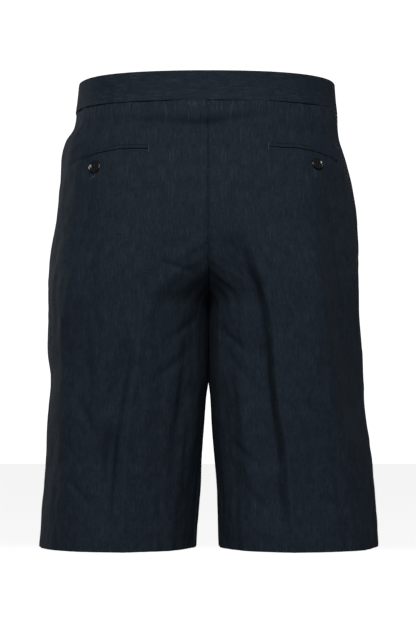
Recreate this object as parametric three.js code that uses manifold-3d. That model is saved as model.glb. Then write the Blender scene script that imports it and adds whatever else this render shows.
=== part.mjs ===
// Bermuda shorts in linen, in the round form that they have when worn, with no wearer inside.
// Four leg panels hang from a waistband. The back has two jetted pockets, each closed by a button.
// The front closes at the waistband, where its left end laps over its right end and buttons.
//
// Millimetres, +Z up. The origin is the middle of the waist opening, halfway up the waistband.
// The back of the shorts faces -Y and the front +Y, so +X is the wearer's right and -X the left.
import * as THREE from "three";
import { mergeVertices } from "three/addons/utils/BufferGeometryUtils.js";
import Module from "manifold-3d";

// Driving sizes
const CLOTH = 1.6; // wall of a leg panel
const SEAM_GAP = 0.3; // between pieces that are sewn edge to edge
const BAND = { height: 34, proud: 0.7, thick: 2.6, rounding: 0.9 };
const HEM = { z: -521, turnUp: 28, thick: 2.4, step: 2 };
const CROTCH_Z = -245;
const FORK_TOP_Z = -135; // above this the two halves make one round body
const WAIST = { halfDepth: 105, backRise: 3, frontFall: 12 }; // rise and fall from its level at the sides
const LEAN_END_Z = -190; // sections are level below this

// The worn form by height: how far it reaches left and right of the centre seams, to the back and to
// the front, and how square its section is (2 is an ellipse).
const FORM = [
  { z: 24, left: 151, right: 147, back: 104, front: 104, square: 2.2 },
  { z: 0, left: 153, right: 149, back: 105, front: 105, square: 2.2 },
  { z: -22, left: 156, right: 151, back: 108, front: 107, square: 2.2 },
  { z: -38, left: 158, right: 152, back: 111, front: 109, square: 2.25 },
  { z: -52, left: 166.5, right: 154.5, back: 114, front: 110, square: 2.3 },
  { z: -66, left: 170, right: 159, back: 118, front: 110.5, square: 2.35 },
  { z: -90, left: 172, right: 165.5, back: 123, front: 110.5, square: 2.35 },
  { z: -120, left: 174.5, right: 170, back: 127, front: 110, square: 2.35 },
  { z: -160, left: 180, right: 173.5, back: 129, front: 109, square: 2.35 },
  { z: -205, left: 185.5, right: 174.5, back: 127.5, front: 107, square: 2.3 },
  { z: -250, left: 186, right: 175.5, back: 123, front: 104.5, square: 2.25 },
  { z: -295, left: 186, right: 179, back: 117.5, front: 101.5, square: 2.2 },
  { z: -325, left: 184, right: 179.5, back: 114, front: 99.5, square: 2.2 },
  { z: -360, left: 187, right: 182, back: 110.5, front: 97.5, square: 2.15 },
  { z: -410, left: 188, right: 187.5, back: 105.5, front: 95, square: 2.15 },
  { z: -460, left: 192, right: 192.5, back: 101, front: 93, square: 2.15 },
  { z: -521, left: 197, right: 196, back: 97, front: 91, square: 2.15 },
];

// How far the inner side of each leg stands from the centre plane, below the crotch.
const INNER = [
  { z: -245, left: 0.15, right: 0.15 },
  { z: -305, left: 0.2, right: 0.2 },
  { z: -330, left: 0.5, right: 0.5 },
  { z: -345, left: 2.2, right: 1.6 },
  { z: -380, left: 4.9, right: 3.6 },
  { z: -440, left: 9.4, right: 8.8 },
  { z: -521, left: 14, right: 12.5 },
];

// The pressed creases down the middle of each leg: their distance from the centre plane on the back
// and front, and how high they stand.
const CREASE = [
  { z: -17, backLeft: 70, backRight: 50, frontLeft: 78, frontRight: 76, backHeight: 0, frontHeight: 0.3 },
  { z: -150, backLeft: 72, backRight: 50, frontLeft: 84, frontRight: 82, backHeight: 0.4, frontHeight: 2.2 },
  { z: -200, backLeft: 75, backRight: 59, frontLeft: 87, frontRight: 85, backHeight: 1.6, frontHeight: 3 },
  { z: -270, backLeft: 80, backRight: 71, frontLeft: 91, frontRight: 89, backHeight: 3.8, frontHeight: 3.8 },
  { z: -350, backLeft: 89, backRight: 81, frontLeft: 96, frontRight: 94, backHeight: 4.8, frontHeight: 4.4 },
  { z: -440, backLeft: 98, backRight: 92, frontLeft: 101, frontRight: 99, backHeight: 4.8, frontHeight: 4.6 },
  { z: -521, backLeft: 100, backRight: 99, frontLeft: 104, frontRight: 103, backHeight: 4.4, frontHeight: 4.4 },
];
const CREASE_REACH = 15; // the cloth leans up to the crease from about this far on each side
const FOLD_FADE = { from: 0.1, to: 0.6 }; // folds die out where the cloth turns to the sides
const FOLD_END = 0.1; // share of a half wave left out at each end, so that a fold starts at once
const SEAM_HOLD = 20; // this near the centre seams, folds move the cloth up, down, in or out, not across

// How far round towards the back the side seams and the inseams sit, in degrees.
const SEAMS = [
  { z: -17, side: 5, inseam: 0 },
  { z: -120, side: 10, inseam: 0 },
  { z: -245, side: 19, inseam: 0 },
  { z: -350, side: 19, inseam: 8 },
  { z: -521, side: 12, inseam: 16 },
];

// The largest soft folds. x is across, positive to the wearer's right, and a fold runs straight from
// its start to its end. A negative height is a trough.
const FOLDS = [
  { face: "back", x1: -96, z1: -24, x2: 84, z2: -25, width: 8, height: 1.6 },
  { face: "back", x1: -104, z1: -42, x2: 58, z2: -44, width: 9, height: -2.4 },
  { face: "back", x1: 50, z1: -45, x2: 92, z2: -26, width: 8, height: -2.0 },
  { face: "back", x1: 40, z1: -178, x2: 72, z2: -420, width: 15, height: -5.0 },
  { face: "back", x1: 74, z1: -190, x2: 104, z2: -400, width: 26, height: 2.6 },
  { face: "back", x1: 128, z1: -150, x2: 148, z2: -400, width: 16, height: -2.6 },
  { face: "back", x1: -92, z1: -318, x2: -116, z2: -452, width: 11, height: -4.2 },
  { face: "back", x1: -128, z1: -190, x2: -140, z2: -480, width: 18, height: -2.8 },
  { face: "back", x1: -44, z1: -250, x2: -58, z2: -430, width: 18, height: -2.6 },
  { face: "front", x1: -52, z1: -120, x2: -66, z2: -420, width: 18, height: -3.2 },
  { face: "front", x1: 50, z1: -140, x2: 64, z2: -400, width: 18, height: -3.4 },
  { face: "front", x1: -128, z1: -170, x2: -138, z2: -470, width: 20, height: -2.8 },
  { face: "front", x1: 126, z1: -150, x2: 140, z2: -450, width: 20, height: -2.6 },
  { face: "front", x1: -30, z1: -205, x2: -104, z2: -158, width: 12, height: -2.0 },
  { face: "front", x1: 30, z1: -208, x2: 100, z2: -164, width: 12, height: -2.0 },
];

// Jetted back pockets: where each mouth starts and ends, and its two lips.
const POCKETS = [
  { side: -1, innerX: 65, innerZ: -72, outerX: 147, outerZ: -76 },
  { side: 1, innerX: 66, innerZ: -69.5, outerX: 150, outerZ: -77 },
];
const LIPS = [
  { name: "upper", bottom: 0.3, top: 3.7 },
  { name: "lower", bottom: -4.6, top: -0.3 },
];
const LIP = { clear: 0.4, thick: 1.1, columns: 14 };

// Buttons with four holes. The one on the left pocket hangs turned a little towards the middle.
const BUTTON = { foot: 4.6, clear: 0.2, sides: 24 };
const HOLE = { radius: 0.85, out: 1.7, length: 8, sides: 8 };
const BUTTON_PROFILE = [
  { r: 0, h: 0 },
  { r: BUTTON.foot, h: 0 },
  { r: 6.4, h: 0.5 },
  { r: 7, h: 1.3 },
  { r: 6.8, h: 2.1 },
  { r: 6.1, h: 2.5 },
  { r: 5.3, h: 2.3 },
  { r: 4.4, h: 1.7 },
  { r: 0, h: 1.5 },
];
const POCKET_BUTTONS = [
  { side: -1, x: 127.5, z: -89.5, turn: 16 },
  { side: 1, x: 122, z: -86, turn: 2 },
];

// The waistband's lapped ends, in degrees past the centre front, and where the lower end dives under.
const LAP = { over: 5, under: 13, diveFrom: 158, diveTo: 171, gap: 0.5, columns: 80 };

// How finely the panels are divided: rows by height and columns on each side of the crease.
const HIP_ROW_Z = -65;
const ROWS = { waist: 5, hip: 4, leg: 12, riseAboveCrotch: [88, 68, 50, 34, 21, 11, 4] };
const COLUMNS = { back: 10, front: 10 };

const NAVY_LINEN = { color: 0x1d2836, roughness: 0.85, metalness: 0 };
const DARK_HORN = { color: 0x2b2725, roughness: 0.35, metalness: 0 };

const RADIANS = Math.PI / 180;
const SMALL_TURN = 0.004; // steps for measuring slopes on the form
const SMALL_RISE = 0.8;

const clamp = (value, low, high) => Math.min(Math.max(value, low), high);

function smoothStep(value, from, to) {
  const t = clamp((value - from) / (to - from), 0, 1);
  return t * t * (3 - 2 * t);
}

// The value of a table's column at a height, on a smooth curve through its rows, which go down in z.
function at(table, name, z) {
  const last = table.length - 1;
  const below = table.findIndex((row) => row.z <= z);
  if (below === 0) return table[0][name];
  if (below < 0) return table[last][name];
  const [p0, p1, p2, p3] = [below - 2, below - 1, below, below + 1].map((i) => table[clamp(i, 0, last)]);
  const slope = (a, b) => (b[name] - a[name]) / (b.z - a.z);
  const middle = slope(p1, p2);
  const start = p0 === p1 ? middle : (slope(p0, p1) + middle) / 2;
  const end = p3 === p2 ? middle : (middle + slope(p2, p3)) / 2;
  const run = p2.z - p1.z;
  const t = (z - p1.z) / run;
  return (
    (1 + 2 * t) * (1 - t) ** 2 * p1[name] +
    t * (1 - t) ** 2 * run * start +
    t * t * (3 - 2 * t) * p2[name] +
    t * t * (t - 1) * run * end
  );
}

const leftOrRight = (side) => (side > 0 ? "right" : "left");

// One half's section at a height. Below the crotch it is the whole leg. Above it, it grows across the
// centre plane until both halves share one section, and only the part on its own side is cloth.
function section(side, z) {
  const outer = at(FORM, leftOrRight(side), z);
  const share = smoothStep(z, CROTCH_Z, FORK_TOP_Z);
  const inner = at(INNER, leftOrRight(side), z) * (1 - share) - outer * share;
  const back = at(FORM, "back", z);
  const front = at(FORM, "front", z);
  return {
    centre: (outer + inner) / 2,
    halfWidth: (outer - inner) / 2,
    middle: (front - back) / 2,
    halfDepth: (front + back) / 2,
    square: at(FORM, "square", z),
  };
}

// A turn is measured round a half's section: -90 degrees is the back, 0 the outer side, 90 the front.
function bare(side, turn, z) {
  const s = section(side, z);
  const [c, r] = [Math.cos(turn), Math.sin(turn)];
  const x = s.centre + s.halfWidth * Math.sign(c) * Math.abs(c) ** (2 / s.square);
  const y = s.middle + s.halfDepth * Math.sign(r) * Math.abs(r) ** (2 / s.square);
  const forward = y / WAIST.halfDepth;
  const slope = (WAIST.backRise + WAIST.frontFall) / 2;
  const sag = (WAIST.frontFall - WAIST.backRise) / 2;
  const lean = smoothStep(z, LEAN_END_Z, 0) * (slope * forward + sag * forward ** 2);
  return new THREE.Vector3(side * x, y, z - lean);
}

// The turn at which a half's section meets a given distance from the centre plane, on the back.
function turnAt(side, z, distance) {
  const s = section(side, z);
  const share = clamp((distance - s.centre) / s.halfWidth, -1, 1);
  return -Math.acos(Math.sign(share) * Math.abs(share) ** (s.square / 2));
}

function normalOf(surface, side, turn, z) {
  const across = surface(side, turn + SMALL_TURN, z).sub(surface(side, turn - SMALL_TURN, z));
  const up = surface(side, turn, z + SMALL_RISE).sub(surface(side, turn, z - SMALL_RISE));
  return across.cross(up).multiplyScalar(side).normalize();
}

// How far one fold lifts the cloth at a point of the back or front.
function foldLift(fold, x, z) {
  const [dx, dz] = [fold.x2 - fold.x1, fold.z2 - fold.z1];
  const along = clamp(((x - fold.x1) * dx + (z - fold.z1) * dz) / (dx * dx + dz * dz), 0, 1);
  const away = Math.hypot(x - fold.x1 - along * dx, z - fold.z1 - along * dz);
  const across = Math.exp(-((away / fold.width) ** 2));
  return fold.height * across * Math.sin(Math.PI * (FOLD_END + (1 - 2 * FOLD_END) * along));
}

// The outer face of the cloth: the bare form with its creases and largest folds.
function skin(side, turn, z) {
  const point = bare(side, turn, z);
  const face = Math.sin(turn) < 0 ? "back" : "front";
  const facing = smoothStep(Math.abs(Math.sin(turn)), FOLD_FADE.from, FOLD_FADE.to);
  const half = side > 0 ? "Right" : "Left";
  const fromCrease = Math.abs(side * point.x - at(CREASE, face + half, z));
  const crease = at(CREASE, face + "Height", z) * Math.exp(-fromCrease / CREASE_REACH);
  const folds = FOLDS.filter((fold) => fold.face === face);
  const lift = folds.reduce((sum, fold) => sum + foldLift(fold, point.x, z), crease) * facing;
  const shift = normalOf(bare, side, turn, z).multiplyScalar(lift);
  shift.x *= smoothStep(side * point.x, 0, SEAM_HOLD);
  return point.add(shift);
}

// A point at a distance outside the cloth's outer face, kept on its own side of the centre plane.
function offSkin(side, turn, z, out) {
  const point = skin(side, turn, z).addScaledVector(normalOf(skin, side, turn, z), out);
  point.x = side * Math.max(side * point.x, SEAM_GAP / 2);
  return point;
}

// A closed solid between an outer and an inner net of the same rows and columns.
function slab(outer, inner) {
  const [rows, columns] = [outer.length, outer[0].length];
  const points = [...outer.flat(), ...inner.flat()];
  const o = (i, j) => i * columns + j;
  const n = (i, j) => rows * columns + o(i, j);
  const faces = [];
  const quad = (a, b, c, d) => faces.push(a, b, c, a, c, d);
  for (let i = 0; i < rows - 1; i++)
    for (let j = 0; j < columns - 1; j++) {
      quad(o(i, j), o(i + 1, j), o(i + 1, j + 1), o(i, j + 1));
      quad(n(i, j), n(i, j + 1), n(i + 1, j + 1), n(i + 1, j));
    }
  for (let j = 0; j < columns - 1; j++) {
    quad(o(0, j), o(0, j + 1), n(0, j + 1), n(0, j));
    quad(o(rows - 1, j + 1), o(rows - 1, j), n(rows - 1, j), n(rows - 1, j + 1));
  }
  for (let i = 0; i < rows - 1; i++) {
    quad(o(i + 1, 0), o(i, 0), n(i, 0), n(i + 1, 0));
    quad(o(i, columns - 1), o(i + 1, columns - 1), n(i + 1, columns - 1), n(i, columns - 1));
  }
  const geometry = new THREE.BufferGeometry();
  geometry.setAttribute("position", new THREE.Float32BufferAttribute(points.flatMap((p) => p.toArray()), 3));
  geometry.setIndex(faces);
  return geometry;
}

// The same solid with its faces the other way round, for a piece whose nets are mirrored.
function turnedOut(geometry) {
  const index = geometry.getIndex().array;
  for (let i = 0; i < index.length; i += 3) [index[i + 1], index[i + 2]] = [index[i + 2], index[i + 1]];
  return geometry;
}

const steps = (from, to, count) => Array.from({ length: count }, (_, i) => from + ((to - from) * i) / count);

// The heights of a leg panel's rows, close together where the form changes fast.
function rowHeights() {
  const top = -BAND.height / 2 - SEAM_GAP;
  const turnUpTop = HEM.z + HEM.turnUp;
  return [
    ...steps(top, HIP_ROW_Z, ROWS.waist),
    ...steps(HIP_ROW_Z, FORK_TOP_Z, ROWS.hip),
    FORK_TOP_Z,
    ...ROWS.riseAboveCrotch.map((rise) => CROTCH_Z + rise),
    ...steps(CROTCH_Z, turnUpTop + HEM.step, ROWS.leg),
    turnUpTop + HEM.step,
    turnUpTop,
    HEM.z + HEM.turnUp / 2,
    HEM.z,
  ];
}

// Half of a seam's gap, as a turn round a section.
const seamInset = (z) => SEAM_GAP / (at(FORM, "back", z) + at(FORM, "front", z));

// Where the seams and creases of a half lie at a height, as turns.
function seamTurns(side, z) {
  const half = side > 0 ? "Right" : "Left";
  const fork = -turnAt(side, z, SEAM_GAP / 2);
  const edge = Math.min(fork, Math.PI - seamInset(z));
  const inseam = z < CROTCH_Z ? at(SEAMS, "inseam", z) * RADIANS : 0;
  return {
    seat: inseam - edge,
    backCrease: turnAt(side, z, at(CREASE, "back" + half, z)),
    sideBack: -at(SEAMS, "side", z) * RADIANS - seamInset(z),
    sideFront: -at(SEAMS, "side", z) * RADIANS + seamInset(z),
    frontCrease: -turnAt(side, z, at(CREASE, "front" + half, z)),
    fly: inseam + edge,
  };
}

// A leg panel spans three turns at each height: an edge, the pressed crease and the other edge.
function legPanel(side, turnsAt, columns) {
  const net = (outAt) =>
    rowHeights().map((z) => {
      const [from, crease, to] = turnsAt(seamTurns(side, z));
      const turns = [...steps(from, crease, columns), ...steps(crease, to, columns), to];
      return turns.map((turn) => offSkin(side, turn, z, outAt(z)));
    });
  const turnUpTop = HEM.z + HEM.turnUp;
  const wall = (z) => CLOTH + (HEM.thick - CLOTH) * smoothStep(-z, -turnUpTop - HEM.step, -turnUpTop);
  const geometry = slab(net(() => 0), net((z) => -wall(z)));
  return side > 0 ? geometry : turnedOut(geometry);
}

// A point of the waistband, by its angle from the centre back, positive to the wearer's right.
function bandPoint(angle, z, out) {
  const wrapped = ((((angle + 180) % 360) + 360) % 360) - 180;
  const side = wrapped < 0 ? -1 : 1;
  const turn = (Math.abs(wrapped) - 90) * RADIANS;
  return bare(side, turn, z).addScaledVector(normalOf(bare, side, turn, z), out);
}

function waistband() {
  const half = BAND.height / 2;
  const { rounding, proud, thick } = BAND;
  const angles = [...steps(-180 - LAP.over, 180 + LAP.under, LAP.columns), 180 + LAP.under];
  const dive = (angle) => smoothStep(angle, LAP.diveFrom, LAP.diveTo) * (thick + LAP.gap);
  const rows = [
    { z: half, sunk: rounding / 2 },
    { z: half - rounding, sunk: 0 },
    { z: 0, sunk: 0 },
    { z: -half + rounding, sunk: 0 },
    { z: -half, sunk: rounding / 2 },
  ];
  const ring = (z, out) => angles.map((angle) => bandPoint(angle, z, out - dive(angle)));
  const net = (outAt) => rows.map((row) => ring(row.z, outAt(row)));
  return slab(net((row) => proud - row.sunk), net((row) => proud - thick + row.sunk));
}

// One lip of a back pocket: a narrow strip just outside the panel's face.
function pocketLip(pocket, lip) {
  const { side, innerX, innerZ, outerX, outerZ } = pocket;
  const spots = [...steps(0, 1, LIP.columns), 1];
  const startTurn = turnAt(side, innerZ, innerX);
  const endTurn = turnAt(side, outerZ, outerX);
  const net = (out) =>
    [lip.top, (lip.top + lip.bottom) / 2, lip.bottom].map((rise) =>
      spots.map((share) => {
        const turn = startTurn + (endTurn - startTurn) * share;
        return offSkin(side, turn, innerZ + (outerZ - innerZ) * share + rise, out);
      }),
    );
  const geometry = slab(net(LIP.clear + LIP.thick), net(LIP.clear));
  return side > 0 ? geometry : turnedOut(geometry);
}

const wasm = await Module();
wasm.setup();

function toSolid(geometry) {
  const plain = geometry.clone();
  plain.deleteAttribute("normal");
  plain.deleteAttribute("uv");
  const merged = mergeVertices(plain, 1e-3);
  return new wasm.Manifold(
    new wasm.Mesh({
      numProp: 3,
      vertProperties: merged.attributes.position.array,
      triVerts: new Uint32Array(merged.index.array),
    }),
  );
}

function toGeometry(solid) {
  const mesh = solid.getMesh();
  const geometry = new THREE.BufferGeometry();
  geometry.setAttribute("position", new THREE.Float32BufferAttribute(mesh.vertProperties, 3));
  geometry.setIndex(Array.from(mesh.triVerts));
  return geometry;
}

// A dished button lying in the XY plane, with its face towards +Z.
function button() {
  const profile = BUTTON_PROFILE.map((p) => new THREE.Vector2(p.r, p.h));
  const upright = (geometry) => geometry.rotateX(90 * RADIANS);
  let solid = toSolid(upright(new THREE.LatheGeometry(profile, BUTTON.sides)));
  for (let k = 0; k < 4; k++) {
    const hole = upright(new THREE.CylinderGeometry(HOLE.radius, HOLE.radius, HOLE.length, HOLE.sides));
    const angle = (45 + 90 * k) * RADIANS;
    hole.translate(HOLE.out * Math.cos(angle), HOLE.out * Math.sin(angle), 0);
    solid = solid.subtract(toSolid(hole));
  }
  return toGeometry(solid);
}

const shorts = new THREE.Group();

function add(name, geometry, finish) {
  const mesh = new THREE.Mesh(geometry, new THREE.MeshStandardMaterial(finish));
  mesh.name = name;
  shorts.add(mesh);
  return mesh;
}

// A button set on the cloth at a point, facing along the given direction.
function addButton(name, point, facing) {
  const mesh = add(name, button(), DARK_HORN);
  mesh.position.copy(point).addScaledVector(facing, BUTTON.clear);
  mesh.quaternion.setFromUnitVectors(new THREE.Vector3(0, 0, 1), facing);
}

function pocketButton({ side, x, z, turn }) {
  const around = turnAt(side, z, x);
  const straight = normalOf(skin, side, around, z);
  const facing = straight.clone().applyAxisAngle(new THREE.Vector3(0, 0, 1), -side * turn * RADIANS);
  const lift = BUTTON.foot * Math.sin(turn * RADIANS);
  const point = skin(side, around, z).addScaledVector(straight, lift);
  addButton("pocket_button_" + leftOrRight(side), point, facing);
}

for (const side of [-1, 1]) {
  const name = leftOrRight(side);
  const backSpan = (t) => [t.seat, t.backCrease, t.sideBack];
  const frontSpan = (t) => [t.sideFront, t.frontCrease, t.fly];
  add("back_panel_" + name, legPanel(side, backSpan, COLUMNS.back), NAVY_LINEN);
  add("front_panel_" + name, legPanel(side, frontSpan, COLUMNS.front), NAVY_LINEN);
}
for (const pocket of POCKETS)
  for (const lip of LIPS)
    add("pocket_lip_" + lip.name + "_" + leftOrRight(pocket.side), pocketLip(pocket, lip), NAVY_LINEN);
for (const row of POCKET_BUTTONS) pocketButton(row);
add("waistband", waistband(), NAVY_LINEN);
addButton("waist_button", bandPoint(180, 0, BAND.proud), normalOf(bare, 1, 90 * RADIANS, 0));

export default shorts;
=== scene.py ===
"""Bermuda shorts in navy linen, in the round form that they have when worn, seen from the back.

The tables are in millimetres, in the part's frame: +Z up, the back faces -Y, +X is the wearer's right.
Each leg panel is a grid laid on the worn form, with its pressed crease, folds and wrinkles, and it turns
up inside at the hem as the cut cloth does. Blender's own lengths are metres.
"""

import math

import bmesh
import bpy
import numpy as np
from mathutils import Matrix, Vector


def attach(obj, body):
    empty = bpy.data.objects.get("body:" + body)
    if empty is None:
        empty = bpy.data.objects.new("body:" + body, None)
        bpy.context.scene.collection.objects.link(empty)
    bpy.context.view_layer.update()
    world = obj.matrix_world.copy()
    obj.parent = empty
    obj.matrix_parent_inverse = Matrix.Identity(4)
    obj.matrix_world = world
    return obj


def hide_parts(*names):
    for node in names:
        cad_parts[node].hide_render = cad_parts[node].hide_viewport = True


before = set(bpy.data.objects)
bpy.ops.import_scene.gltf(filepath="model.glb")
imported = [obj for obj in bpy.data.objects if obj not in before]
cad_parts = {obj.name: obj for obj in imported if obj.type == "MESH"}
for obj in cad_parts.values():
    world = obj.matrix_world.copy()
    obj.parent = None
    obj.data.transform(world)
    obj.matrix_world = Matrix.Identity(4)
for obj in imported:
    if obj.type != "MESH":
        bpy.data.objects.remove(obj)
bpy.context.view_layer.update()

MM = 0.001
BACK = -1
FRONT = 1
LEFT = -1
RIGHT = 1
BODY = "root"


def table(names, *rows):
    """A short table as one array a column, by the column's name."""
    return dict(zip(names.split(), np.array(rows, float).T))


# Sizes of the cloth
CLOTH = 0.9  # thickness of one layer
BAND = {"half": 17.0, "proud": 0.7, "thick": 2.6, "corner": 1.1, "corner_rows": 5, "face_rows": 15}
HEM = {"z": -521.0, "turn_up": 28.0, "fold_radius": 1.15, "inside_rows": 14, "round_rows": 7}
CROTCH_Z = -245.0
FORK_TOP_Z = -118.0
WAIST = {"half_depth": 105.0, "back_rise": 3.0, "front_fall": 12.0}
LEAN_END_Z = -190.0
TOUCH = 0.0  # panels meet at the centre plane in the ditch of a seam
SEAM_HOLD = 20.0
FOLD_FADE = {"from": 0.1, "to": 0.6}
FOLD_END = 0.1  # share of a half wave left out at each end, so that a fold starts at once

# The worn form by height: reach to the left, right, back and front, and how square the section is.
FORM = table(
    "z left right back front square",
    (24, 151, 147, 104, 104, 2.2),
    (0, 153, 149, 105, 105, 2.2),
    (-22, 156, 151, 108, 107, 2.2),
    (-38, 158, 152, 112.5, 109, 2.25),
    (-52, 166.5, 154.5, 113.8, 110, 2.3),
    (-66, 170, 159, 116.4, 110.5, 2.35),
    (-90, 172, 165.5, 123.2, 110.5, 2.35),
    (-120, 174.5, 170, 128.5, 110, 2.35),
    (-160, 180, 173.5, 129, 109, 2.35),
    (-205, 185.5, 174.5, 125.5, 107, 2.3),
    (-250, 186, 175.5, 120, 104.5, 2.25),
    (-295, 186, 179, 115.5, 101.5, 2.2),
    (-325, 184, 179.5, 113, 99.5, 2.2),
    (-360, 187, 182, 110.5, 97.5, 2.15),
    (-410, 188, 187.5, 105.5, 95, 2.15),
    (-460, 192, 192.5, 101, 93, 2.15),
    (-521, 197, 196, 97, 91, 2.15),
)

# How far the inner side of each leg stands from the centre plane, below the crotch.
INNER = table(
    "z left right",
    (-245, -0.6, -0.6),
    (-305, -0.8, -0.8),
    (-328, -0.3, -0.3),
    (-345, 2.2, 1.6),
    (-380, 4.9, 3.6),
    (-440, 9.4, 8.8),
    (-521, 14, 12.5),
)

# The pressed creases: distance from the centre plane on the back and front, and their height.
CREASE = table(
    "z back_left back_right front_left front_right back_height front_height",
    (-17, 70, 48, 78, 76, 0, 0.3),
    (-150, 71, 47, 84, 82, 0.3, 2.2),
    (-190, 72, 52, 86, 84, 1.2, 2.8),
    (-223, 73.5, 62, 88, 86, 2.2, 3.2),
    (-261, 76, 71, 91, 89, 3.2, 3.7),
    (-303, 79.5, 74.5, 94, 92, 4.2, 4.2),
    (-350, 86, 79, 96, 94, 4.6, 4.4),
    (-395, 91.5, 86.5, 99, 97, 4.7, 4.5),
    (-440, 94.5, 91, 101, 99, 4.6, 4.6),
    (-521, 95.5, 96, 104, 103, 4.4, 4.4),
)
CREASE_REACH = 15.0
CREASE_EDGE = {"width": 2.4, "height": 0.5}  # the sharp pressed edge on top of it
CREASE_SHOWS = {"from": 0.4, "to": 3.0}  # heights between which a crease gets its edge, and its paler wear with painted shine

# Beside a back crease the cloth drops steeply on its left as seen, and rises slowly again.
VALLEYS = table(
    "side top bottom start depth steep wide spread",
    (RIGHT, -150, -515, 60, 11.0, 15, 48, 0),
    (LEFT, -262, -512, 95, 13, 9, 38, 11),
)
VALLEY_UNEVEN = {"down": 34.0, "share": 0.35, "seed": 71}

# Places where the cloth drops away beside a straight line: 1 is its side of larger x, -1 the other.
DROPS = table(
    "face way x1 z1 x2 z2 depth steep wide",
    (BACK, 1, 108, -90, 146, -400, 9.0, 28, 52),
    (BACK, -1, -118, -150, -132, -430, 3.5, 12, 40),
    (BACK, 1, -30, -250, -50, -440, 4.0, 12, 30),
    (BACK, -1, 34, -260, 44, -470, 4.0, 12, 30),
    (FRONT, 1, 58, -150, 70, -430, 4.0, 12, 36),
    (FRONT, -1, -60, -140, -72, -440, 4.0, 12, 36),
)
DROP_TAPER = 0.6  # below 1, a drop keeps its depth almost to its ends

# Where the side seams and inseams sit, in degrees towards the back.
SEAMS = table("z side inseam", (-17, 5, 0), (-120, 10, 0), (-245, 19, 0), (-350, 19, 8), (-521, 12, 16))

# The largest folds, each straight from its start to its end. A negative height is a trough.
FOLDS = table(
    "face x1 z1 x2 z2 width height",
    (BACK, -72, -27, 60, -29, 8, 2.8),
    (BACK, -128, -37, 30, -48, 7, -4.6),
    (BACK, -34, -50, 96, -28, 7, -3.9),
    (BACK, 38, -180, 60, -420, 18, -3.0),
    (BACK, 84, -190, 108, -400, 26, 2.6),
    (BACK, 104, -120, 132, -300, 12, 2.6),
    (BACK, -128, -190, -140, -480, 18, -2.8),
    (BACK, -44, -250, -58, -430, 18, -2.6),
    (FRONT, -52, -120, -66, -420, 18, -3.2),
    (FRONT, 50, -140, 64, -400, 18, -3.4),
    (FRONT, -128, -170, -138, -470, 20, -2.8),
    (FRONT, 126, -150, 140, -450, 20, -2.6),
    (FRONT, -30, -205, -104, -158, 12, -2.0),
    (FRONT, 30, -208, 100, -164, 12, -2.0),
)

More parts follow.
